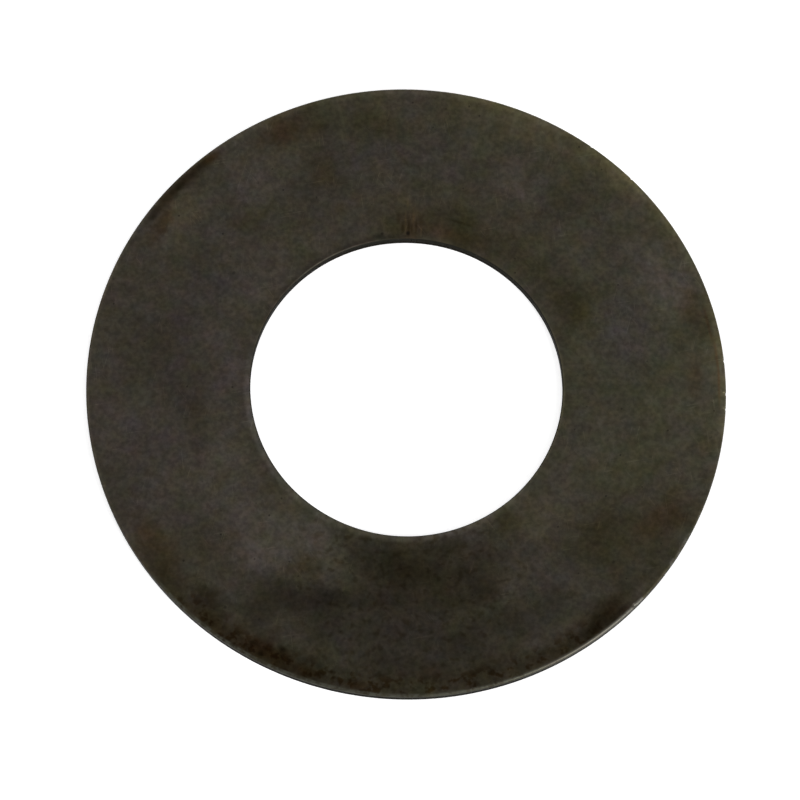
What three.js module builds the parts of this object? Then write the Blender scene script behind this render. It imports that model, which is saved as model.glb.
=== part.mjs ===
// A flat washer: one stamped ring of dark, heat-tempered steel strip.
//
// Millimetres, +Z up. The origin is the centre of the bore at the underside, so the
// washer lies on the plane z = 0 with its die-rolled face up.

import * as THREE from 'three';

// Driving dimensions, in millimetres.
const OUTER_DIAMETER = 62;
const BORE_DIAMETER = 30.25;
const THICKNESS = 1.2;

// The blanking punch and die draw the upper edges of the rim and of the bore down into
// a rounded roll, and leave a straight sheared wall under it.
const ROLL_DEPTH = 0.18;
const ROLL_WIDTH = 0.32;

// Fineness of the solid: facets around the ring, and chords along each roll.
const RING_FACETS = 192;
const ROLL_CHORDS = 4;

const STEEL_COLOUR = 0x37342a;
const STEEL_ROUGHNESS = 0.5;
const STEEL_METALNESS = 0.85;

// Points of a die roll, from the top of the sheared wall up to the flat face. It is a
// quarter of an ellipse; side is +1 where the metal ends at a larger radius (the rim)
// and -1 where it ends at a smaller one (the bore).
function rollPoints(wallRadius, side) {
  const points = [];
  for (let i = 0; i <= ROLL_CHORDS; i++) {
    const turn = (i / ROLL_CHORDS) * (Math.PI / 2);
    const radius = wallRadius - side * ROLL_WIDTH * (1 - Math.cos(turn));
    const height = THICKNESS - ROLL_DEPTH * (1 - Math.sin(turn));
    points.push(new THREE.Vector2(radius, height));
  }
  return points;
}

// The ring's closed section in (radius, height), from the bore's lower corner round by
// the rim and the upper face, back to where it began.
function ringSection() {
  const outerRadius = OUTER_DIAMETER / 2;
  const boreRadius = BORE_DIAMETER / 2;
  const lowerCorner = new THREE.Vector2(boreRadius, 0);
  return [
    lowerCorner,
    new THREE.Vector2(outerRadius, 0),
    ...rollPoints(outerRadius, 1),
    ...rollPoints(boreRadius, -1).reverse(),
    lowerCorner.clone(),
  ];
}

// A lathe turns about its own Y axis, so the mesh is tipped up to stand Y along +Z.
function makeWasher() {
  const geometry = new THREE.LatheGeometry(ringSection(), RING_FACETS);
  const material = new THREE.MeshStandardMaterial({
    color: STEEL_COLOUR,
    roughness: STEEL_ROUGHNESS,
    metalness: STEEL_METALNESS,
  });
  const mesh = new THREE.Mesh(geometry, material);
  mesh.name = 'washer';
  mesh.rotation.x = Math.PI / 2;
  return mesh;
}

const flatWasher = new THREE.Group();
flatWasher.add(makeWasher());

export default flatWasher;
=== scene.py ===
"""A flat washer of dark, heat-tempered steel, lying on a white studio sweep.

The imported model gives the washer's size. The ring is built again here as a fine mesh,
with its die-rolled edges, sheared walls, burr and small nicks, and it gets two
procedural materials: the oxidised face and the sheared wall. Lengths are in metres,
and places on a material are in millimetres.
"""

import math
from collections import namedtuple

import bpy
import numpy as np
from mathutils import Matrix, Vector


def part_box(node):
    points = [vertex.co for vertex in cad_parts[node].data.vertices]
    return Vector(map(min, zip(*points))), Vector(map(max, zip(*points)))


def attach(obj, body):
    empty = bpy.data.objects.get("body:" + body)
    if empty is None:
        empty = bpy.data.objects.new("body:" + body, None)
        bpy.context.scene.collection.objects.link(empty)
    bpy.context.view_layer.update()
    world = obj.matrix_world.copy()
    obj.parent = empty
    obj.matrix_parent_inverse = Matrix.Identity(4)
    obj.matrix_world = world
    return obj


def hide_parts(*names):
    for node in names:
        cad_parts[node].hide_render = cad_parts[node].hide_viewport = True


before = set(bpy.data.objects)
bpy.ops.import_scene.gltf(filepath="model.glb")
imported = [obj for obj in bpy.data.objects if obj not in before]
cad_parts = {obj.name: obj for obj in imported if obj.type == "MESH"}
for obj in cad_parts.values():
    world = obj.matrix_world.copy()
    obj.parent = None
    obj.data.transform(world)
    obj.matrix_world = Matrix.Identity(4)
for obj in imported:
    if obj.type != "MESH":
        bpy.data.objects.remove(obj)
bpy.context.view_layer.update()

MM = 0.001
FULL_TURN = 2 * math.pi

# ------------------------------------------------------------------ sizes from the frame

high_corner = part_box("washer")[1]
OUTER_RADIUS = high_corner.x
THICKNESS = high_corner.z
BORE_RADIUS = min(v.co.xy.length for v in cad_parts["washer"].data.vertices)

# ------------------------------------------------------------------ the ring's own detail

ROLL_WIDTH = 0.32 * MM  # how far the rounded edge reaches over the face
ROLL_DEPTH = 0.18 * MM
ROLL_STEPS = 8
ROLL_UNEVENNESS = 0.12  # how far the roll's depth wanders, as a share
BORE_DARK_ROLL = 0.55  # the share of the bore's roll that is as dark as its wall
SINK_WIDTH = 1.6 * MM  # the face dips very slightly before it rolls over
SINK_DEPTH = 0.012 * MM
FLATNESS = 0.006 * MM  # how far the face wanders up and down

LAND_FLOOR = 0.52 * MM  # the smooth sheared land ends here, and torn metal begins
LAND_STEPS = 4
LAND_ROUGHNESS = 0.0025 * MM
TORN_STEPS = 9
TORN_LEAN = 0.035 * MM  # the torn metal leans in this far by the underside
TORN_ROUGHNESS = 0.012 * MM
TORN_START, TORN_SPAN = 0.15, 0.80  # the stretch of a half wave by which the tearing swells and fades

BURR_HEIGHT = 0.015 * MM
BURR_INSET = 0.02 * MM
# Rows down to the burr's tip: inset and height as shares of the burr's, and 1 where the wall begins.
BURR_SECTION = ((3, 1.0, 0), (2, 0.8, 0), (1.3, 0.0, 1))

FACE_ROWS = 24
UNDERSIDE_ROWS = 8
RING_STEPS = 1152
CLOSEST_SPOKES = 0.05  # spokes that are nearer than this share of a step become one

# Random unevenness. A smooth curve has its numbers of waves in a turn and its seed; a
# roughness has its seed and the spokes over which it is evened out.
RIM_ROLL_WAVES, RIM_ROLL_SEED = (3, 5, 8, 13), 1
BORE_ROLL_WAVES, BORE_ROLL_SEED = (2, 5, 7, 11), 2
FACE_WAVES, FACE_SEED = (2, 3), 5
TORN_SEED, TORN_BLUR = 3, 3
LAND_SEED, LAND_BLUR = 4, 2

# Small nicks in the upper edge of the rim: direction, width, depth.
Nick = namedtuple("Nick", "angle width depth")
NICKS = (
    Nick(2.6, 0.34 * MM, 0.10 * MM),
    Nick(-0.3, 0.26 * MM, 0.06 * MM),
    Nick(8.8, 0.30 * MM, 0.05 * MM),
    Nick(48.0, 0.26 * MM, 0.05 * MM),
    Nick(57.5, 0.30 * MM, 0.04 * MM),
    Nick(318.5, 0.42 * MM, 0.07 * MM),
    Nick(203.0, 0.30 * MM, 0.04 * MM),
)
NICK_STEPS = 10
NICK_SINK = 0.4  # how far a nick also pushes the roll down, as a share of its depth

FACE_SLOT, WALL_SLOT = 0, 1

# One row of the ring's section: where it is, how much of a roll or wall it is, and how torn.
Ring = namedtuple("Ring", "radius height roll wall torn")


def edge_rows():
    """Rows of an edge, from the underside up: inset from the wall, then a Ring's other values."""
    rows = [(BURR_INSET * inset, BURR_HEIGHT * height, 0, wall, 0) for inset, height, wall in BURR_SECTION]
    for step in range(TORN_STEPS):
        part = step / TORN_STEPS
        height = BURR_HEIGHT + (LAND_FLOOR - BURR_HEIGHT) * part
        torn = math.sin(math.pi * (part * TORN_SPAN + TORN_START))
        rows.append((TORN_LEAN * (1 - part), height, 0, 1, torn))
    land_top = THICKNESS - ROLL_DEPTH
    for step in range(LAND_STEPS):
        height = LAND_FLOOR + (land_top - LAND_FLOOR) * step / LAND_STEPS
        rows.append((0, height, 0, 1, 0))
    for step in range(ROLL_STEPS + 1):
        turn = math.pi / 2 * step / ROLL_STEPS
        inset = ROLL_WIDTH * (1 - math.cos(turn))
        height = THICKNESS - ROLL_DEPTH * (1 - math.sin(turn))
        rows.append((inset, height, 1 - step / ROLL_STEPS, 0, 0))
    return rows


def spread(first, last, count):
    """Numbers strictly between first and last, closer together near both ends."""
    turns = np.linspace(0, math.pi, count + 2)[1:-1]
    return first + (last - first) * (1 - np.cos(turns)) / 2


def ring_rows():
    """The ring's closed section: rows that run round by the underside, the rim, the face and the bore."""
    edge = edge_rows()
    burr_inset = edge[0][0]
    underside = spread(BORE_RADIUS + burr_inset, OUTER_RADIUS - burr_inset, UNDERSIDE_ROWS)
    face = spread(OUTER_RADIUS - ROLL_WIDTH, BORE_RADIUS + ROLL_WIDTH, FACE_ROWS)
    rows = [Ring(radius, BURR_HEIGHT, 0, 0, 0) for radius in underside]
    rows += [Ring(OUTER_RADIUS - inset, *rest) for inset, *rest in edge]
    rows += [Ring(radius, THICKNESS, 0, 0, 0) for radius in face]
    rows += [Ring(BORE_RADIUS + inset, *rest) for inset, *rest in reversed(edge)]
    return rows


def ring_angles():
    """Directions of the ring's spokes, evenly spread, with more of them across each nick."""
    turns = [np.arange(RING_STEPS) * FULL_TURN / RING_STEPS]
    for nick in NICKS:
        half = nick.width / OUTER_RADIUS
        centre = math.radians(nick.angle)
        turns.append(np.linspace(centre - half, centre + half, NICK_STEPS))
    angles = np.sort(np.concatenate(turns) % FULL_TURN)
    apart = np.diff(angles, append=angles[0] + FULL_TURN)
    return angles[apart > CLOSEST_SPOKES * FULL_TURN / RING_STEPS]


def wander(angles, waves, seed):
    """A smooth random curve round the ring, from about -1 to 1, with these numbers of waves in a turn."""
    rng = np.random.default_rng(seed)
    total = sum(np.cos(w * angles + rng.uniform(0, FULL_TURN)) for w in waves)
    return total / math.sqrt(len(waves))


def tooth(shape, seed, blur):
    """Random roughness over (spoke, row), about 1 in size, evened out round the ring over blur spokes."""
    grid = np.random.default_rng(seed).normal(size=shape)
    smooth = sum(np.roll(grid, shift, axis=0) for shift in range(blur))
    return smooth / math.sqrt(blur)


def wander_rolls(heights, section, rim, angles):
    """Lets the depth of each roll wander round the ring."""
    rim_curve = wander(angles, RIM_ROLL_WAVES, RIM_ROLL_SEED)[:, None]
    bore_curve = wander(angles, BORE_ROLL_WAVES, BORE_ROLL_SEED)[:, None]
    uneven = np.where(rim, rim_curve, bore_curve)
    drop = (THICKNESS - heights) * (section.roll > 0)
    heights -= drop * ROLL_UNEVENNESS * np.clip(uneven, -1, 1)


def roughen_walls(radii, section, rim):
    """Tears the foot of the walls, and leaves faint upright streaks on the smooth land above."""
    inward = np.where(rim, -1.0, 1.0)
    tears = np.abs(tooth(radii.shape, TORN_SEED, TORN_BLUR))
    radii += inward * section.torn * TORN_ROUGHNESS * tears
    land = (section.wall - np.minimum(section.torn, 1)).clip(0)
    streaks = np.abs(tooth((len(radii), 1), LAND_SEED, LAND_BLUR))
    radii += inward * land * LAND_ROUGHNESS * streaks


def sink_face(heights, section, angles):
    """Dips the face towards its rolls, and lets it wander by a few micrometres."""
    upper = section.height > THICKNESS / 2
    on_face = upper & (section.roll == 0) & (section.wall == 0)
    from_edge = np.minimum(OUTER_RADIUS - section.radius, section.radius - BORE_RADIUS) - ROLL_WIDTH
    sink = np.clip(1 - from_edge / SINK_WIDTH, 0, 1) ** 2 * SINK_DEPTH * on_face
    heights -= np.where(section.roll > 0, SINK_DEPTH, sink)
    fall = (1 - wander(angles, FACE_WAVES, FACE_SEED)) / 2 * FLATNESS
    heights -= np.outer(np.clip(fall, 0, None), upper)


def cut_nick(nick, radii, heights, section, rim, angles):
    """Cuts one nick into the rim's roll and land."""
    away = (angles - math.radians(nick.angle) + math.pi) % FULL_TURN - math.pi
    across = np.clip(1 - (away * OUTER_RADIUS / (nick.width / 2)) ** 2, 0, 1)
    rim_edge = rim & ((section.roll > 0) | (section.wall > 0))
    land_height = THICKNESS - ROLL_DEPTH - LAND_FLOOR
    down = np.clip((section.height - LAND_FLOOR) / land_height, 0, 1) * rim_edge
    radii -= np.outer(across, down) * nick.depth
    heights -= np.outer(across, (section.roll > 0) & rim) * nick.depth * NICK_SINK


def ring_points():
    """Vertex places over (spoke, row), as uneven as stamped steel is, and which rows are dark."""
    section = Ring(*(np.array(column) for column in zip(*ring_rows())))
    angles = ring_angles()
    rim = section.radius > (OUTER_RADIUS + BORE_RADIUS) / 2
    shape = (len(angles), len(rim))
    radii = np.broadcast_to(section.radius, shape).copy()
    heights = np.broadcast_to(section.height, shape).copy()

    wander_rolls(heights, section, rim, angles)
    roughen_walls(radii, section, rim)
    sink_face(heights, section, angles)
    for nick in NICKS:
        cut_nick(nick, radii, heights, section, rim, angles)

    dark = (section.wall > 0) | (~rim & (section.roll > 1 - BORE_DARK_ROLL))
    along_x = radii * np.cos(angles)[:, None]
    along_y = radii * np.sin(angles)[:, None]
    return np.stack([along_x, along_y, heights], axis=2), dark


def make_ring():
    """The washer's mesh: one closed ring, with its faces pointing out."""
    points, dark = ring_points()
    spokes, rows = points.shape[:2]
    here = np.arange(spokes * rows).reshape(spokes, rows)
    beside = np.roll(here, -1, axis=0)
    corners = (here, beside, np.roll(beside, -1, axis=1), np.roll(here, -1, axis=1))
    faces = np.stack(corners, axis=2).reshape(-1, 4)
    mesh = bpy.data.meshes.new("washer_ring")
    mesh.from_pydata(points.reshape(-1, 3).tolist(), [], faces.tolist())
    slots = np.where(dark & np.roll(dark, -1), WALL_SLOT, FACE_SLOT)
    mesh.polygons.foreach_set("material_index", np.tile(slots, spokes).astype(np.int32))
    mesh.polygons.foreach_set("use_smooth", np.ones(len(faces), bool))
    mesh.update()
    ring = bpy.data.objects.new("washer_ring", mesh)
    bpy.context.scene.collection.objects.link(ring)
    return ring


# ------------------------------------------------------------------ material nodes


class Material:
    """A node material, with one short method for each kind of node that the steel uses."""

    def __init__(self, name):
        self.material = bpy.data.materials.new(name)
        self.material.use_nodes = True
        self.tree = self.material.node_tree
        self.shader = self.tree.nodes["Principled BSDF"]

    def add(self, kind, inputs=(), **settings):
        """A new node. inputs holds (input, value or socket) pairs."""
        node = self.tree.nodes.new(kind)
        for name, value in settings.items():
            setattr(node, name, value)
        for key, value in inputs:
            self.feed(node.inputs[key], value)
        return node

    def feed(self, socket, value):
        if isinstance(value, bpy.types.NodeSocket):
            self.tree.links.new(value, socket)
        else:
            socket.default_value = value

    def maths(self, operation, first, second):
        return self.add("ShaderNodeMath", ((0, first), (1, second)), operation=operation).outputs[0]

    def vectors(self, operation, first, second):
        return self.add("ShaderNodeVectorMath", ((0, first), (1, second)), operation=operation).outputs[0]

    def scaled(self, vector, by):
        return self.add("ShaderNodeVectorMath", ((0, vector), ("Scale", by)), operation="SCALE").outputs[0]

    def length(self, vector):
        return self.add("ShaderNodeVectorMath", ((0, vector),), operation="LENGTH").outputs["Value"]

    def height(self, vector):
        return self.add("ShaderNodeSeparateXYZ", ((0, vector),)).outputs["Z"]

    def place(self):
        """The place on the object, in millimetres."""
        return self.scaled(self.add("ShaderNodeTexCoord").outputs["Object"], 1 / MM)

    def noise(self, vector, scale, detail=2.0, rough=0.5, output="Fac"):
        """Fractal noise, about 0 to 1, with scale in repeats for each unit of the vector."""
        pairs = (("Vector", vector), ("Scale", scale), ("Detail", detail), ("Roughness", rough))
        return self.add("ShaderNodeTexNoise", pairs).outputs[output]

    def swirl(self, vector, scale, detail=2.0, rough=0.5):
        """Three noises as one vector, each about -0.5 to 0.5."""
        noise = self.noise(vector, scale, detail, rough, output="Color")
        return self.vectors("SUBTRACT", noise, (0.5, 0.5, 0.5))

    def cells(self, vector, scale):
        """Scattered points: the distance to the nearest one, in cells, and a random number of its own."""
        cells = self.add("ShaderNodeTexVoronoi", (("Vector", vector), ("Scale", scale)))
        parts = self.add("ShaderNodeSeparateColor", ((0, cells.outputs["Color"]),))
        return cells.outputs["Distance"], parts.outputs[0]

    def ramp(self, value, low, high, to_low=0.0, to_high=1.0):
        """Eases value from to_low at low to to_high at high, and holds it outside."""
        pairs = ((0, value), (1, low), (2, high), (3, to_low), (4, to_high))
        return self.add("ShaderNodeMapRange", pairs, interpolation_type="SMOOTHSTEP").outputs[0]

    def local(self, vector, place, turn, size):
        """The vector in the own frame of a patch: moved to its place, turned, and divided by its size."""
        pairs = (("Vector", vector), ("Location", place), ("Rotation", (0, 0, turn)), ("Scale", size))
        return self.add("ShaderNodeMapping", pairs, vector_type="TEXTURE").outputs[0]

    def spot(self, vector, place, turn, size):
        """1 at a place, falling evenly to 0 at its half lengths from there."""
        pairs = (("Vector", self.local(vector, place, turn, size)),)
        return self.add("ShaderNodeTexGradient", pairs, gradient_type="SPHERICAL").outputs["Fac"]

    def blend(self, factor, first, second, how="MIX"):
        """Colours first and second, mixed or multiplied by factor."""
        node = self.add("ShaderNodeMix", data_type="RGBA", blend_type=how)
        self.feed(node.inputs["Factor"], factor)
        self.feed(node.inputs["A"], colour(first))
        self.feed(node.inputs["B"], colour(second))
        return node.outputs["Result"]

    def bump(self, height, distance, below=None):
        pairs = [("Height", height), ("Distance", distance)]
        if below is not None:
            pairs.append(("Normal", below))
        return self.add("ShaderNodeBump", pairs).outputs[0]

    def feed_shader(self, shade, dullness, skin, metallic, edge_tint):
        """Joins the nodes to the shader, and returns the finished material."""
        self.feed(self.shader.inputs["Base Color"], shade)
        self.feed(self.shader.inputs["Roughness"], dullness)
        self.feed(self.shader.inputs["Normal"], skin)
        self.shader.inputs["Metallic"].default_value = metallic
        self.shader.inputs["Specular Tint"].default_value = colour(edge_tint)
        return self.material


def colour(value):
    """Three numbers as four, for a colour socket; a socket stays as it is."""
    return value if isinstance(value, bpy.types.NodeSocket) else (*value, 1.0)


# ------------------------------------------------------------------ the oxidised face

# Places, radii and sizes on a material are in millimetres, reliefs are in metres, and
# directions are in degrees from +X.
OUTER_MM = OUTER_RADIUS / MM
BORE_MM = BORE_RADIUS / MM

OXIDE = (0.0485, 0.0429, 0.0302)
FACE_METALLIC = 0.95
FACE_EDGE_TINT = (0.6, 0.6, 0.6)  # holds back the mirror-like shine at grazing angles

# The oxide's cloudiness: two tints between which it drifts, and how far each hue wanders.
WARM_DRIFT = (0.99, 1.0, 0.92)
COOL_DRIFT = (1.02, 0.99, 1.08)
HUE_WANDER = (0.33, 0.12, 0.56)

# Clouds of brightness, from wide to fine: repeats to the millimetre, least and most gain.
Cloud = namedtuple("Cloud", "scale least most")
CLOUDS = (
    Cloud(0.35, 0.93, 1.08),
    Cloud(1.10, 0.91, 1.10),
    Cloud(2.30, 0.87, 1.17),
    Cloud(5.00, 0.97, 1.03),
)
NOISE_LOW, NOISE_HIGH = 0.3, 0.7  # nearly all of a noise lies between these

# How the outlines of patches are loosened: a noise's settings, and how far it pulls them.
Warp = namedtuple("Warp", "scale detail rough reach")
WARPS = (
    Warp(0.22, 2.0, 0.5, 2.4),
    Warp(0.90, 3.0, 0.6, 1.8),
)

# What a patch or a mark does to the steel's colour: red, green and blue shares.
# The first two tints darken stain marks, and on the lower side they also paint shade.
DEEP_BROWN = (0.30, 0.26, 0.13)
DARK_GREY = (0.43, 0.41, 0.42)
UMBER = (0.45, 0.37, 0.22)
RUST = (0.79, 0.60, 0.41)
OLIVE = (0.74, 0.72, 0.52)
MOSS = (1.08, 1.14, 1.02)
VIOLET = (1.00, 0.98, 1.24)
SLATE = (0.86, 0.83, 0.92)
FAIR = (1.13, 1.15, 1.13)
PALE = (1.43, 1.40, 1.62)
STRAW = (1.66, 1.62, 1.28)
STREAK = (1.38, 1.30, 1.12)
RUSSET = (1.02, 0.80, 0.72)
STAIN_AND_SHADE = (0.68, 0.64, 0.55)
FLECK = (0.52, 0.41, 0.25)
SCRATCH_TINT = (1.28, 1.28, 1.28)

# Colours of their own.
PIT_BLACK = (0.006, 0.005, 0.004)
# Painted highlight on the rolled edge of the rim's near side.
RIM_HIGHLIGHT_STEEL = (0.064, 0.063, 0.048)
# Painted highlight: the lower right rim's rolled edge, polished by rubbing, is also lightened where the key
# light glints.
RUBBED_HIGHLIGHT_STEEL = (0.118, 0.113, 0.095)

PIT_COVER = 0.85
FACE_SMOOTHEST, FACE_DULLEST = 0.40, 0.52
SCRATCH_SHINE = 0.10  # what a scratch takes off the roughness
RUBBED_SHINE = 0.06

GRAIN_RELIEF = 0.007 * MM
WAVE_RELIEF = 0.03 * MM
SCRATCH_RELIEF = 0.006 * MM
PIT_RELIEF = 0.03 * MM

# Between these heights the underside's pattern changes into the face's.
UNDERSIDE_TOP, FACE_BOTTOM = 0.1, 0.4
UNDERSIDE_AWAY = 70.0  # how far off in the pattern the underside is
UPPER_SIDE_ONLY = 20.0  # a half depth that leaves the underside out

# Distances in from the wall: where an edge's tint starts and is full, and where the rim rolls.
RIM_TINT_START, BORE_TINT_START, TINT_FULL = 0.90, 0.85, 0.30
ROLL_START, ROLL_FULL = 0.38, 0.16

# Stretches of the rim and of the bore whose edge is lighter or darker than the rest:
# direction of the middle, reach along the ring and tint. They are painted light and shade:
# a reflection on the far side of the rim's roll, light on the near edge of the bore, and
# shade that damps the key light's glint on the far edge of the bore.
Stretch = namedtuple("Stretch", "angle reach tint")
STRETCH_CORE = 0.4  # the share of the way in at which a tint reaches its full strength
# Painted reflection on the far side of the rim's roll.
RIM_STRETCHES = (Stretch(60, 44.0, (1.45, 1.45, 1.42)),)
BORE_STRETCHES = (
    # Painted light on the near edge of the bore.
    Stretch(245, 22.0, (1.62, 1.67, 1.80)),
    # Painted shade that damps the key light's glint on the far edge of the bore.
    Stretch(122, 9.0, (0.76, 0.76, 0.78)),
)

# Regions of the upper side: direction and radius of the middle, half width across the
# ring and half length along it.
Region = namedtuple("Region", "angle radius across along")
FLECKED = Region(270, 30.0, 27.0, 27.0)
# Painted shade, with staining: the lower side, where the staining is strongest.
LOWER_SHADE_AND_STAINS = Region(275, 20.0, 15.0, 15.0)
NEAR_SIDE = Region(262, OUTER_MM, 14.0, 29.0)
# The next two regions bound the lower right rim's stretch that is polished by rubbing and painted with a
# highlight.
RUB_AND_HIGHLIGHT_FADES = Region(322, OUTER_MM, 6.0, 20.0)
RUB_AND_HIGHLIGHT_BEGINS = Region(297, OUTER_MM, 6.0, 15.0)
FLECKS_START, FLECKS_FULL = 28.4, 29.8  # radii

# Scratches: direction in radians, and the level that a noise has to pass to be one.
Scratch = namedtuple("Scratch", "turn level")
SCRATCHES = (
    Scratch(0.25, 0.70),
    Scratch(1.35, 0.71),
    Scratch(2.30, 0.72),
    Scratch(1.75, 0.71),
)
SCRATCH_SIZE = (3.5, 0.14, 1.0)  # length, width and depth of a repeat
SCRATCH_EDGE = 0.05  # a scratch is full this far above its level

# Patches on the upper side: direction, radius, half length along the ring, half width
# across it, tint and strength. A patch has half faded at its edge.
Patch = namedtuple("Patch", "angle radius along across tint strength")
PATCH_FADE = 1.9  # where a patch ends, in its own half lengths
PATCH_CORE = 0.95  # the share of the way in at which it reaches its full strength
PATCHES = (
    # Broad drifts, partly painted light: fair and straw-coloured on the right, where the key light falls,
    # slate-grey and darker on the left.
    Patch(357, 23.0, 9.0, 8.0, MOSS, 0.90),
    Patch(35, 24.0, 15.0, 8.0, FAIR, 0.90),
    Patch(182, 23.5, 16.0, 7.0, SLATE, 0.80),
    Patch(344, 19.5, 5.0, 3.5, FAIR, 0.60),
    # The lower side, darker than the rest: partly painted shade, partly staining.
    Patch(276, 19.0, 4.8, 2.8, DEEP_BROWN, 0.76),
    Patch(272, 18.0, 2.8, 1.5, DEEP_BROWN, 0.35),
    Patch(284, 22.0, 3.4, 1.2, DEEP_BROWN, 0.35),
    Patch(294, 21.6, 1.4, 1.2, DEEP_BROWN, 0.50),
    Patch(265, 22.0, 3.0, 1.1, DEEP_BROWN, 0.35),
    Patch(296, 19.2, 2.6, 1.8, DEEP_BROWN, 0.52),
    Patch(287, 16.4, 2.0, 0.8, DEEP_BROWN, 0.45),
    Patch(259, 17.0, 2.2, 1.6, DARK_GREY, 0.60),
    Patch(247, 24.2, 3.8, 1.4, DARK_GREY, 0.95),
    Patch(254, 22.4, 1.8, 1.2, DARK_GREY, 0.90),
    Patch(245, 20.6, 1.3, 1.2, OLIVE, 1.00),
    Patch(268, 24.8, 6.0, 2.6, DARK_GREY, 0.65),
    Patch(288, 26.2, 5.5, 2.6, DARK_GREY, 0.60),
    Patch(270, 27.9, 3.0, 1.0, DARK_GREY, 0.50),
    Patch(303, 26.0, 3.4, 1.6, DARK_GREY, 0.40),
    Patch(254, 27.0, 3.5, 1.6, DARK_GREY, 0.30),
    Patch(242, 26.8, 2.0, 1.5, DARK_GREY, 0.80),
    Patch(232, 28.2, 1.8, 0.9, DEEP_BROWN, 0.80),
    Patch(226, 24.8, 3.0, 1.8, OLIVE, 0.50),
    Patch(217, 28.8, 2.4, 1.4, RUST, 0.80),
    Patch(224, 30.2, 3.0, 1.3, UMBER, 0.60),
    Patch(236, 30.2, 3.6, 1.2, UMBER, 0.90),
    Patch(248, 29.8, 3.4, 1.4, UMBER, 1.00),
    Patch(257, 30.0, 2.6, 1.3, DEEP_BROWN, 0.62),
    Patch(267, 29.9, 3.2, 1.3, DEEP_BROWN, 0.55),
    Patch(279, 29.6, 3.4, 1.5, UMBER, 0.65),
    Patch(290, 29.8, 3.0, 1.4, UMBER, 0.50),
    Patch(302, 30.2, 3.2, 1.0, UMBER, 0.80),
    Patch(313, 29.8, 2.6, 1.3, UMBER, 0.85),
    Patch(312, 30.2, 3.2, 0.6, DEEP_BROWN, 0.40),
    Patch(318, 28.4, 1.8, 1.1, UMBER, 0.35),
    Patch(327, 29.8, 2.2, 1.1, UMBER, 0.20),
    Patch(338, 28.4, 2.0, 1.5, RUST, 0.70),
    Patch(332, 27.4, 2.4, 1.5, RUST, 0.60),
    Patch(325, 23.8, 3.6, 2.8, OLIVE, 0.90),
    Patch(310, 24.6, 2.6, 1.8, VIOLET, 0.60),
    Patch(235, 19.8, 3.4, 2.4, PALE, 0.88),
    Patch(232, 22.6, 2.4, 1.2, PALE, 0.45),
    Patch(246, 17.4, 2.4, 1.3, PALE, 0.50),
    # The right side, palest towards the rim.
    Patch(358, 28.8, 5.0, 2.4, PALE, 0.50),
    Patch(8, 30.4, 6.0, 1.2, STRAW, 0.35),
    Patch(26, 28.0, 3.0, 2.2, PALE, 0.85),
    Patch(36, 27.2, 2.2, 1.8, PALE, 0.60),
    Patch(36, 22.5, 5.0, 3.0, VIOLET, 0.40),
    Patch(17, 22.2, 3.4, 2.8, VIOLET, 0.90),
    Patch(352, 29.2, 1.4, 1.0, RUST, 0.35),
    Patch(19, 29.0, 2.2, 1.0, RUST, 0.55),
    Patch(30, 18.2, 2.4, 2.0, OLIVE, 0.90),
    Patch(42, 17.4, 3.0, 1.6, OLIVE, 0.50),
    Patch(317, 18.4, 2.4, 1.8, STRAW, 0.35),
    Patch(308, 17.0, 1.4, 1.0, OLIVE, 0.80),
    # The upper side.
    Patch(53, 26.6, 2.0, 1.5, DARK_GREY, 0.35),
    Patch(54, 24.4, 3.0, 1.5, DARK_GREY, 0.35),
    Patch(64, 23.6, 2.4, 2.0, PALE, 0.35),
    Patch(62, 29.8, 7.5, 1.6, STRAW, 0.50),
    Patch(80, 29.6, 4.5, 2.0, STRAW, 0.40),
    Patch(43, 30.2, 5.0, 1.1, STRAW, 0.60),
    Patch(74, 26.6, 3.4, 1.6, MOSS, 0.80),
    Patch(68, 16.8, 5.0, 1.5, OLIVE, 0.85),
    Patch(91, 16.6, 2.8, 1.2, OLIVE, 0.60),
    Patch(103, 18.2, 3.2, 2.0, OLIVE, 0.35),
    Patch(62, 20.6, 3.6, 2.0, OLIVE, 0.45),
    Patch(78, 18.4, 2.6, 1.5, OLIVE, 0.40),
    Patch(100, 27.2, 2.4, 1.4, OLIVE, 0.80),
    Patch(88, 29.4, 2.2, 1.6, DARK_GREY, 0.25),
    Patch(88, 24.0, 4.5, 2.0, VIOLET, 0.45),
    Patch(119, 21.0, 3.0, 2.0, DARK_GREY, 0.22),
    Patch(107, 24.8, 2.6, 2.2, VIOLET, 0.60),
    Patch(113, 23.9, 1.6, 2.0, OLIVE, 0.90),
    Patch(119, 28.8, 2.0, 1.3, RUST, 0.95),
    Patch(112, 28.4, 1.6, 2.0, OLIVE, 0.80),
    Patch(132, 24.4, 4.5, 2.8, VIOLET, 0.35),
    Patch(128, 25.0, 2.0, 1.6, PALE, 0.35),
    Patch(135, 23.0, 1.6, 1.2, OLIVE, 0.70),
    Patch(139, 30.2, 4.0, 0.8, UMBER, 0.35),
    Patch(149, 29.4, 1.8, 0.7, RUST, 0.80),
    Patch(145, 28.0, 2.6, 1.4, STRAW, 0.40),
    # The left side.
    Patch(163, 22.5, 4.5, 4.0, VIOLET, 0.30),
    Patch(168, 18.8, 2.0, 1.6, PALE, 0.35),
    Patch(178, 17.2, 2.4, 1.6, PALE, 0.50),
    Patch(156, 17.8, 2.8, 2.0, PALE, 0.40),
    Patch(184, 20.6, 3.0, 1.8, DARK_GREY, 0.10),
    Patch(194, 20.4, 2.4, 1.2, OLIVE, 0.35),
    Patch(181, 26.4, 2.4, 1.8, DARK_GREY, 0.18),
    Patch(187, 26.0, 1.6, 1.4, MOSS, 0.60),
    Patch(172, 24.4, 3.4, 1.2, OLIVE, 0.40),
    Patch(203, 25.0, 5.5, 3.5, PALE, 0.35),
    Patch(213, 20.0, 3.4, 2.6, PALE, 0.65),
    Patch(200, 17.8, 2.4, 1.6, PALE, 0.50),
)

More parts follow.
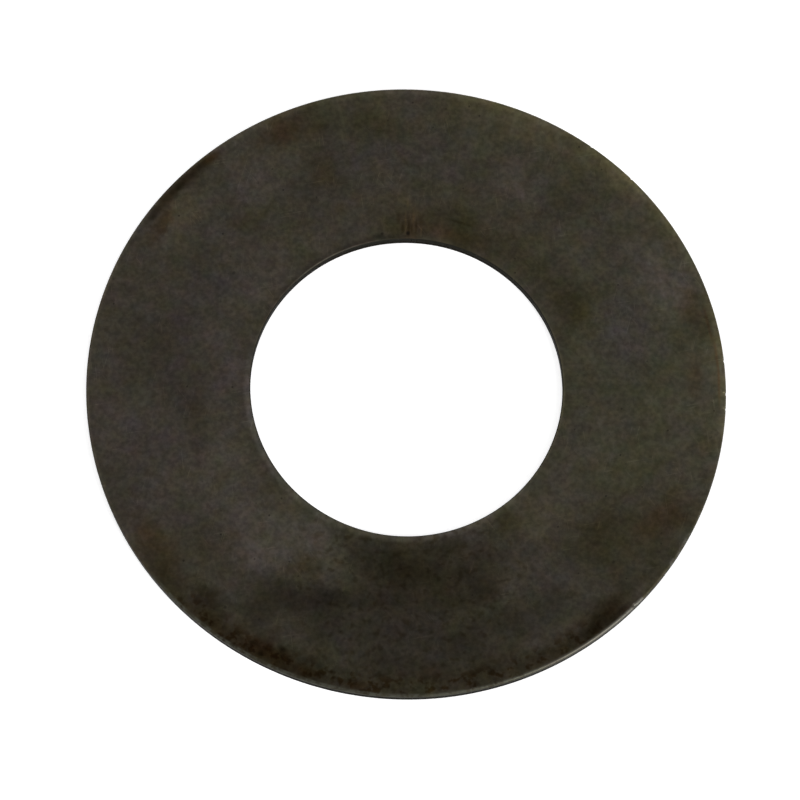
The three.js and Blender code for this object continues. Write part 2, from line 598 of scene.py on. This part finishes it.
# Marks with clean outlines: rusty streaks above the bore, reddish lines by the right rim, and
# the crescent and spots along the rim. They are patches on the plan as it is.
MARKS = (
    Patch(93.0, 16.8, 1.2, 1.3, RUSSET, 0.55),
    Patch(80.0, 16.2, 2.6, 0.7, RUSSET, 0.75),
    Patch(6.0, 27.9, 1.5, 0.7, RUSSET, 0.70),
    Patch(9.5, 30.3, 1.6, 0.12, RUSSET, 1.00),
    Patch(4.0, 30.3, 1.6, 0.12, RUSSET, 1.00),
    Patch(16.0, 30.1, 1.6, 0.15, RUSSET, 0.90),
    Patch(77.0, 17.7, 1.3, 0.13, UMBER, 0.50),
    Patch(96.4, 17.4, 0.18, 0.5, UMBER, 0.45),
    Patch(95.0, 16.3, 0.14, 0.4, UMBER, 0.65),
    Patch(92.9, 16.4, 0.12, 0.7, UMBER, 0.55),
    Patch(91.9, 16.2, 0.10, 0.4, UMBER, 0.60),
    Patch(90.4, 16.5, 0.10, 0.6, UMBER, 0.60),
    Patch(88.9, 17.0, 0.20, 0.3, UMBER, 0.50),
    Patch(94.0, 17.2, 0.10, 0.8, STREAK, 0.80),
    Patch(91.4, 17.3, 0.12, 0.7, STREAK, 0.80),
    Patch(88.5, 16.0, 0.09, 0.5, STREAK, 1.00),
    Patch(93.3, 18.7, 0.10, 0.5, STREAK, 0.60),
    Patch(104.1, 15.7, 0.5, 0.2, DARK_GREY, 0.60),
    Patch(133.2, 30.35, 1.0, 0.35, RUST, 0.95),
    Patch(136.0, 30.35, 1.3, 0.50, UMBER, 0.70),
    Patch(140.0, 30.35, 1.4, 0.50, UMBER, 0.75),
    Patch(144.0, 30.35, 1.4, 0.50, UMBER, 0.75),
    Patch(148.0, 30.40, 1.2, 0.35, UMBER, 0.60),
    Patch(141.0, 30.25, 0.8, 0.22, DEEP_BROWN, 0.50),
    Patch(148.8, 30.20, 0.4, 0.25, DEEP_BROWN, 0.60),
    Patch(131.6, 30.85, 0.30, 0.15, PALE, 1.00),
    Patch(246.5, 30.20, 0.35, 0.30, DEEP_BROWN, 0.85),
    Patch(249.7, 28.90, 0.35, 0.30, DEEP_BROWN, 0.80),
    Patch(244.2, 29.60, 0.35, 0.30, DEEP_BROWN, 0.80),
    Patch(247.5, 29.70, 2.2, 0.60, RUST, 0.70),
    Patch(255.5, 30.10, 1.2, 0.50, RUST, 0.80),
    Patch(264.5, 30.30, 1.1, 0.45, RUST, 0.90),
    Patch(313.6, 30.50, 0.8, 0.35, DEEP_BROWN, 0.60),
    Patch(316.3, 30.40, 0.6, 0.30, DEEP_BROWN, 0.55),
    Patch(309.8, 30.10, 1.0, 0.40, DEEP_BROWN, 0.35),
    Patch(320.6, 30.30, 0.7, 0.35, PALE, 0.80),
)

# Places that are darker still, a fraction of a millimetre across.
Pit = namedtuple("Pit", "angle radius size strength")
PIT_CORE = 0.7  # the share of the way in at which a pit reaches its full strength
PITS = (
    Pit(93.1, 15.75, 0.32, 1.0),
    Pit(149.4, 20.4, 0.26, 0.5),
    Pit(102.3, 15.85, 0.22, 0.6),
    Pit(236.0, 28.2, 0.24, 0.6),
    Pit(322.0, 26.5, 0.20, 0.5),
)

# Specks are scattered all over: cells to the millimetre, a speck's outer and inner radius
# in cells, the random numbers that make a cell's speck faint or full, and its strength.
SPECK_CELLS = 0.9
SPECK_OUTSIDE, SPECK_INSIDE = 0.13, 0.05
SPECK_FAINT, SPECK_FULL = 0.55, 0.95
SPECK_STRENGTH = 0.7


def make_face():
    """Heat-darkened steel: mottled oxide, patches that are partly painted light and shade, fine grain,
    scratches, pits, and edges with painted highlights and polish from rubbing.
    """
    steel = Material("tempered_face")
    plan = face_coordinates(steel)
    radius = steel.length(steel.vectors("MULTIPLY", plan, (1, 1, 0)))
    loose = warped(steel, plan)

    shade = mottled(steel, plan, loose)
    # Painted light and shade along stretches of the rim's and the bore's edges.
    by_rim = steel.ramp(radius, OUTER_MM - RIM_TINT_START, OUTER_MM - TINT_FULL)
    shade = stretched(steel, shade, plan, by_rim, OUTER_MM, RIM_STRETCHES)
    by_bore = steel.ramp(radius, BORE_MM + BORE_TINT_START, BORE_MM + TINT_FULL)
    shade = stretched(steel, shade, plan, by_bore, BORE_MM, BORE_STRETCHES)
    shade = patched(steel, shade, loose, PATCHES)
    shade = patched(steel, shade, plan, MARKS)
    shade = steel.blend(flecks(steel, plan, radius), shade, FLECK, "MULTIPLY")
    # Staining, stronger on the lower side, where it also paints shade.
    shade = steel.blend(stains_and_lower_shade(steel, plan), shade, STAIN_AND_SHADE, "MULTIPLY")
    scratch = scratches(steel, plan)
    pits = pitted(steel, plan)
    shade = steel.blend(scratch, shade, SCRATCH_TINT, "MULTIPLY")
    shade = steel.blend(steel.maths("MULTIPLY", pits, PIT_COVER), shade, PIT_BLACK)
    # Painted highlight on the near side of the rim's roll.
    shade = steel.blend(near_rim_highlight(steel, plan, radius), shade, RIM_HIGHLIGHT_STEEL)
    # Painted highlight of the key light, over polish from rubbing, on the lower right rim.
    rubbed_highlight = steel.maths("MULTIPLY", rubbed_and_highlit(steel, plan), rolled_rim(steel, radius))
    shade = steel.blend(rubbed_highlight, shade, RUBBED_HIGHLIGHT_STEEL)

    dullness = face_dullness(steel, loose, scratch, rubbed_highlight)
    skin = face_skin(steel, plan, scratch, pits)
    return steel.feed_shader(shade, dullness, skin, FACE_METALLIC, FACE_EDGE_TINT)


def face_coordinates(steel):
    """The place in millimetres, moved far off along Z on the underside, which so has marks of its own."""
    place = steel.place()
    below = steel.maths("SUBTRACT", 1.0, steel.ramp(steel.height(place), UNDERSIDE_TOP, FACE_BOTTOM))
    away = steel.add("ShaderNodeCombineXYZ", (("Z", steel.maths("MULTIPLY", below, UNDERSIDE_AWAY)),))
    return steel.vectors("ADD", place, away.outputs[0])


def warped(steel, plan):
    """The plan pulled about, so that no patch laid on it has a clean edge."""
    loose = plan
    for warp in WARPS:
        swirl = steel.swirl(plan, warp.scale, warp.detail, warp.rough)
        loose = steel.vectors("ADD", loose, steel.scaled(swirl, warp.reach))
    return loose


def tinted(shade, tint):
    """A colour multiplied by a tint."""
    return [part * share for part, share in zip(shade, tint)]


def mottled(steel, plan, loose):
    """The oxide's own cloudiness: hue in broad drifts, and brightness from clouds down to grain."""
    drift = steel.ramp(steel.noise(loose, scale=0.16, detail=3.0, rough=0.55), low=0.36, high=0.64)
    shade = steel.blend(drift, tinted(OXIDE, WARM_DRIFT), tinted(OXIDE, COOL_DRIFT))
    for cloud in CLOUDS:
        gain = steel.ramp(steel.noise(plan, cloud.scale), NOISE_LOW, NOISE_HIGH, cloud.least, cloud.most)
        shade = steel.blend(1.0, shade, gain, "MULTIPLY")
    hue = steel.vectors("MULTIPLY", steel.swirl(plan, scale=0.65), HUE_WANDER)
    return steel.blend(1.0, shade, steel.vectors("ADD", hue, (1.0, 1.0, 1.0)), "MULTIPLY")


def region(steel, plan, angle, radius, across, along):
    """1 at a place on the upper side, falling evenly to 0 at the half width and half length from there."""
    turn = math.radians(angle)
    place = (radius * math.cos(turn), radius * math.sin(turn), 0.0)
    return steel.spot(plan, place, turn, (across, along, UPPER_SIDE_ONLY))


def patched(steel, shade, plan, patches):
    """Tints the upper side with patches, laid one on another."""
    for patch in patches:
        across = patch.across * PATCH_FADE
        along = patch.along * PATCH_FADE
        near = region(steel, plan, patch.angle, patch.radius, across, along)
        cover = steel.ramp(near, 0.0, PATCH_CORE, 0.0, patch.strength)
        shade = steel.blend(cover, shade, patch.tint, "MULTIPLY")
    return shade


def stretched(steel, shade, plan, edge, edge_radius, stretches):
    """Tints stretches of an edge with painted light and shade, where edge is 1 on the edge itself, which
    has the given radius.
    """
    for stretch in stretches:
        near = region(steel, plan, stretch.angle, edge_radius, stretch.reach, stretch.reach)
        cover = steel.maths("MULTIPLY", edge, steel.ramp(near, 0.0, STRETCH_CORE))
        shade = steel.blend(cover, shade, stretch.tint, "MULTIPLY")
    return shade


def scratches(steel, plan):
    """Fine handling scratches in a few directions: thin slices of long drawn-out noise."""
    total = 0.0
    for scratch in SCRATCHES:
        drawn = steel.local(plan, (0, 0, 0), scratch.turn, SCRATCH_SIZE)
        noise = steel.noise(drawn, scale=1.0, detail=1.0, rough=0.4)
        line = steel.ramp(noise, scratch.level, scratch.level + SCRATCH_EDGE)
        total = steel.maths("MAXIMUM", total, line)
    patchy = steel.ramp(steel.noise(plan, scale=0.3), low=0.42, high=0.62)
    return steel.maths("MULTIPLY", total, patchy)


def pitted(steel, plan):
    """Small dark pits: a scatter of specks, and the few larger ones that have places of their own."""
    distance, chance = steel.cells(plan, SPECK_CELLS)
    speck = steel.ramp(distance, SPECK_OUTSIDE, SPECK_INSIDE)
    chosen = steel.ramp(chance, SPECK_FAINT, SPECK_FULL, 0.0, SPECK_STRENGTH)
    total = steel.maths("MULTIPLY", speck, chosen)
    for pit in PITS:
        near = region(steel, plan, pit.angle, pit.radius, pit.size, pit.size)
        total = steel.maths("MAXIMUM", total, steel.ramp(near, 0.0, PIT_CORE, 0.0, pit.strength))
    return total


def flecks(steel, plan, radius):
    """Small flecks of scorched oil and rust along the lower rim."""
    fleck = steel.ramp(steel.noise(plan, scale=1.3), low=0.48, high=0.64)
    by_rim = steel.ramp(radius, FLECKS_START, FLECKS_FULL)
    lower = steel.ramp(region(steel, plan, *FLECKED), low=0.0, high=0.35)
    return steel.maths("MULTIPLY", fleck, steel.maths("MULTIPLY", by_rim, lower))


def stains_and_lower_shade(steel, plan):
    """Soft dark staining in the grain, much stronger on the lower side, where it also paints shade."""
    stain = steel.ramp(steel.noise(plan, scale=1.5, detail=1.0, rough=0.4), low=0.50, high=0.76)
    lower_shade_and_stains = steel.ramp(region(steel, plan, *LOWER_SHADE_AND_STAINS), low=0.0, high=0.5, to_low=0.25)
    return steel.maths("MULTIPLY", stain, lower_shade_and_stains)


def rolled_rim(steel, radius):
    """1 on the rolled edge of the rim."""
    return steel.ramp(radius, OUTER_MM - ROLL_START, OUTER_MM - ROLL_FULL)


def near_rim_highlight(steel, plan, radius):
    """The near side of the rim's rolled edge, lightened as a painted highlight, more in some places than in
    others.
    """
    near = steel.ramp(region(steel, plan, *NEAR_SIDE), low=0.0, high=0.35)
    patchy = steel.ramp(steel.noise(plan, scale=1.6, detail=4.0, rough=0.7), low=0.40, high=0.58, to_low=0.25)
    return steel.maths("MULTIPLY", steel.maths("MULTIPLY", near, rolled_rim(steel, radius)), patchy)


def rubbed_and_highlit(steel, plan):
    """The stretch of the rim that is polished by rubbing and painted with a highlight of the key light: it
    begins sharply, and fades out leftwards.
    """
    broken = steel.noise(plan, scale=1.4, detail=3.0, rough=0.6)
    begun = steel.ramp(steel.maths("ADD", region(steel, plan, *RUB_AND_HIGHLIGHT_BEGINS), broken), low=0.50, high=0.70)
    return steel.maths("MULTIPLY", region(steel, plan, *RUB_AND_HIGHLIGHT_FADES), begun)


def face_dullness(steel, loose, scratch, rubbed_highlight):
    """Cloudy roughness, a little lower on scratches and on the stretch of the rim that is polished by
    rubbing and carries a painted highlight.
    """
    cloud = steel.noise(loose, scale=0.35, detail=4.0, rough=0.6)
    dullness = steel.ramp(cloud, NOISE_LOW, NOISE_HIGH, FACE_SMOOTHEST, FACE_DULLEST)
    dullness = steel.maths("SUBTRACT", dullness, steel.maths("MULTIPLY", scratch, SCRATCH_SHINE))
    return steel.maths("SUBTRACT", dullness, steel.maths("MULTIPLY", rubbed_highlight, RUBBED_SHINE))


def face_skin(steel, plan, scratch, pits):
    """The face's relief: grain over soft waves, with the scratches and pits cut in."""
    skin = steel.bump(steel.noise(plan, scale=4.5, detail=3.0, rough=0.6), GRAIN_RELIEF)
    skin = steel.bump(steel.noise(plan, scale=0.8, detail=3.0), WAVE_RELIEF, skin)
    skin = steel.bump(steel.maths("MULTIPLY", scratch, -1.0), SCRATCH_RELIEF, skin)
    return steel.bump(steel.maths("MULTIPLY", pits, -1.0), PIT_RELIEF, skin)


# ------------------------------------------------------------------ the sheared wall

WALL_METALLIC = 0.95
WALL_EDGE_TINT = (0.4, 0.4, 0.4)
LAND_DARK, LAND_LIGHT = (0.012, 0.012, 0.009), (0.028, 0.026, 0.021)
TORN_DARK, TORN_LIGHT = (0.008, 0.007, 0.005), (0.026, 0.023, 0.018)
# Painted highlight: the wall under the lower right rim's highlight, lightened where it reflects the key
# light.
WALL_HIGHLIGHT = (0.062, 0.060, 0.051)
LAND_DULLNESS, TORN_DULLNESS = 0.42, 0.62

STREAKS = (7.0, 7.0, 0.7)  # repeats to the millimetre across, and up the wall
LAND_STRAYS = 0.35  # how far the land's lower edge strays up and down
LAND_BELOW, LAND_ABOVE = 0.04, 0.06  # the land fades in between these, about its lower edge
LAND_RELIEF = 0.004 * MM
STREAK_RELIEF = 0.006 * MM
TORN_RELIEF = 0.05 * MM


def make_wall():
    """The rim's and bore's walls: a smooth streaked land above, and dark torn metal below."""
    steel = Material("sheared_wall")
    place = steel.place()
    streak = steel.noise(steel.vectors("MULTIPLY", place, STREAKS), scale=1.0)
    crumb = steel.noise(place, scale=6.0, detail=4.0, rough=0.65)
    stray = steel.maths("MULTIPLY", steel.maths("SUBTRACT", crumb, 0.5), LAND_STRAYS)
    edge = steel.maths("ADD", steel.height(place), stray)
    land = steel.ramp(edge, LAND_FLOOR / MM - LAND_BELOW, LAND_FLOOR / MM + LAND_ABOVE)

    smooth = steel.blend(streak, LAND_DARK, LAND_LIGHT)
    torn = steel.blend(crumb, TORN_DARK, TORN_LIGHT)
    # Painted highlight on the wall under the lower right rim's highlight.
    shade = steel.blend(rubbed_and_highlit(steel, place), steel.blend(land, torn, smooth), WALL_HIGHLIGHT)
    dullness = steel.ramp(land, 0.0, 1.0, TORN_DULLNESS, LAND_DULLNESS)
    skin = steel.bump(land, LAND_RELIEF)
    skin = steel.bump(streak, STREAK_RELIEF, skin)
    skin = steel.bump(steel.maths("MULTIPLY", crumb, steel.maths("SUBTRACT", 1.0, land)), TORN_RELIEF, skin)
    return steel.feed_shader(shade, dullness, skin, WALL_METALLIC, WALL_EDGE_TINT)


# ------------------------------------------------------------------ studio

FLOOR_GAP = 0.02 * MM  # how far the floor lies under the burr
SWEEP_FLAT = 1.6
SWEEP_RISE = 0.9
SWEEP_SIDES = 96
SWEEP_STEPS = 16
SWEEP_WHITE = (0.86, 0.86, 0.86)
SWEEP_ROUGHNESS = 0.9
SWEEP_GLOW = 0.49
GLOW_WHITE = (1.0, 1.0, 1.0)


def make_sweep():
    """A white floor that curves up all round into a low wall."""
    rows = [(SWEEP_FLAT / 2, 0.0), (SWEEP_FLAT, 0.0)]
    for step in range(1, SWEEP_STEPS + 1):
        turn = math.pi / 2 * step / SWEEP_STEPS
        rows.append((SWEEP_FLAT + SWEEP_RISE * math.sin(turn), SWEEP_RISE * (1 - math.cos(turn))))
    points = [(0.0, 0.0, -FLOOR_GAP)]
    for radius, height in rows:
        for side in range(SWEEP_SIDES):
            turn = FULL_TURN * side / SWEEP_SIDES
            points.append((radius * math.cos(turn), radius * math.sin(turn), height - FLOOR_GAP))
    faces = [(0, 1 + side, 1 + (side + 1) % SWEEP_SIDES) for side in range(SWEEP_SIDES)]
    for row in range(len(rows) - 1):
        first = 1 + row * SWEEP_SIDES
        outer = first + SWEEP_SIDES
        for side in range(SWEEP_SIDES):
            after = (side + 1) % SWEEP_SIDES
            faces.append((first + side, outer + side, outer + after, first + after))
    mesh = bpy.data.meshes.new("sweep")
    mesh.from_pydata(points, [], faces)
    mesh.polygons.foreach_set("use_smooth", [True] * len(faces))
    mesh.materials.append(make_paper())
    sweep = bpy.data.objects.new("sweep", mesh)
    bpy.context.scene.collection.objects.link(sweep)
    return sweep


def make_paper():
    """White paper that glows a little, so that it stays white under the lights."""
    paper = Material("white_sweep")
    paper.shader.inputs["Base Color"].default_value = colour(SWEEP_WHITE)
    paper.shader.inputs["Roughness"].default_value = SWEEP_ROUGHNESS
    paper.shader.inputs["Emission Color"].default_value = colour(GLOW_WHITE)
    paper.shader.inputs["Emission Strength"].default_value = SWEEP_GLOW
    return paper.material


# Softboxes: name, direction round the washer and height above the floor in degrees,
# distance, side and brightness.
Softbox = namedtuple("Softbox", "name azimuth elevation distance side radiance")
SOFTBOXES = (
    Softbox("key", -40, 36, 0.95, 0.38, 11.0),
    Softbox("fill", 150, 48, 1.10, 0.80, 1.1),
)
WORLD_GREY = (0.60, 0.60, 0.60)


def make_lights():
    """A key softbox low on the right, a broad fill on the far left, and a dim even surround."""
    for box in SOFTBOXES:
        turn = math.radians(box.azimuth)
        rise = math.radians(box.elevation)
        towards = Vector((math.cos(turn) * math.cos(rise), math.sin(turn) * math.cos(rise), math.sin(rise)))
        lamp = bpy.data.lights.new(box.name, "AREA")
        lamp.size = box.side
        lamp.energy = box.radiance * math.pi * box.side ** 2
        light = bpy.data.objects.new(box.name, lamp)
        light.location = towards * box.distance
        light.rotation_euler = towards.to_track_quat("Z", "Y").to_euler()
        bpy.context.scene.collection.objects.link(light)
    world = bpy.data.worlds.new("studio")
    world.use_nodes = True
    world.node_tree.nodes["Background"].inputs["Color"].default_value = colour(WORLD_GREY)
    bpy.context.scene.world = world


# ------------------------------------------------------------------ camera

CAMERA_DISTANCE = 13.42 * OUTER_RADIUS
CAMERA_TILT = math.radians(18.3)  # between the line of sight and the washer's axis
CAMERA_ROLL = math.radians(3.86)
CAMERA_LENS = 192.8
CAMERA_NEAREST = 0.01
AIM_LEFT = 0.0198 * OUTER_RADIUS
AIM_BELOW = 0.0326 * OUTER_RADIUS


def make_camera():
    """Looks down from the front, with the washer a little right of and above the picture's middle."""
    back = Vector((0, -math.sin(CAMERA_TILT), math.cos(CAMERA_TILT)))
    level = Vector((1, 0, 0))
    upward = back.cross(level)
    right = level * math.cos(CAMERA_ROLL) + upward * math.sin(CAMERA_ROLL)
    up = upward * math.cos(CAMERA_ROLL) - level * math.sin(CAMERA_ROLL)
    place = back * CAMERA_DISTANCE
    aim = -right * AIM_LEFT - up * AIM_BELOW
    axis_z = (place - aim).normalized()
    axis_x = up.cross(axis_z).normalized()
    axis_y = axis_z.cross(axis_x)
    turn = Matrix((axis_x, axis_y, axis_z)).transposed().to_4x4()
    camera = bpy.data.objects.new("camera", bpy.data.cameras.new("camera"))
    camera.matrix_world = Matrix.Translation(place) @ turn
    camera.data.lens = CAMERA_LENS
    camera.data.clip_start = CAMERA_NEAREST
    bpy.context.scene.collection.objects.link(camera)
    bpy.context.scene.camera = camera


# ------------------------------------------------------------------ build

washer = make_ring()
washer.data.materials.append(make_face())
washer.data.materials.append(make_wall())
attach(washer, "root")
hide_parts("washer")

make_sweep()
make_lights()
make_camera()
bpy.context.scene.view_settings.view_transform = "Standard"
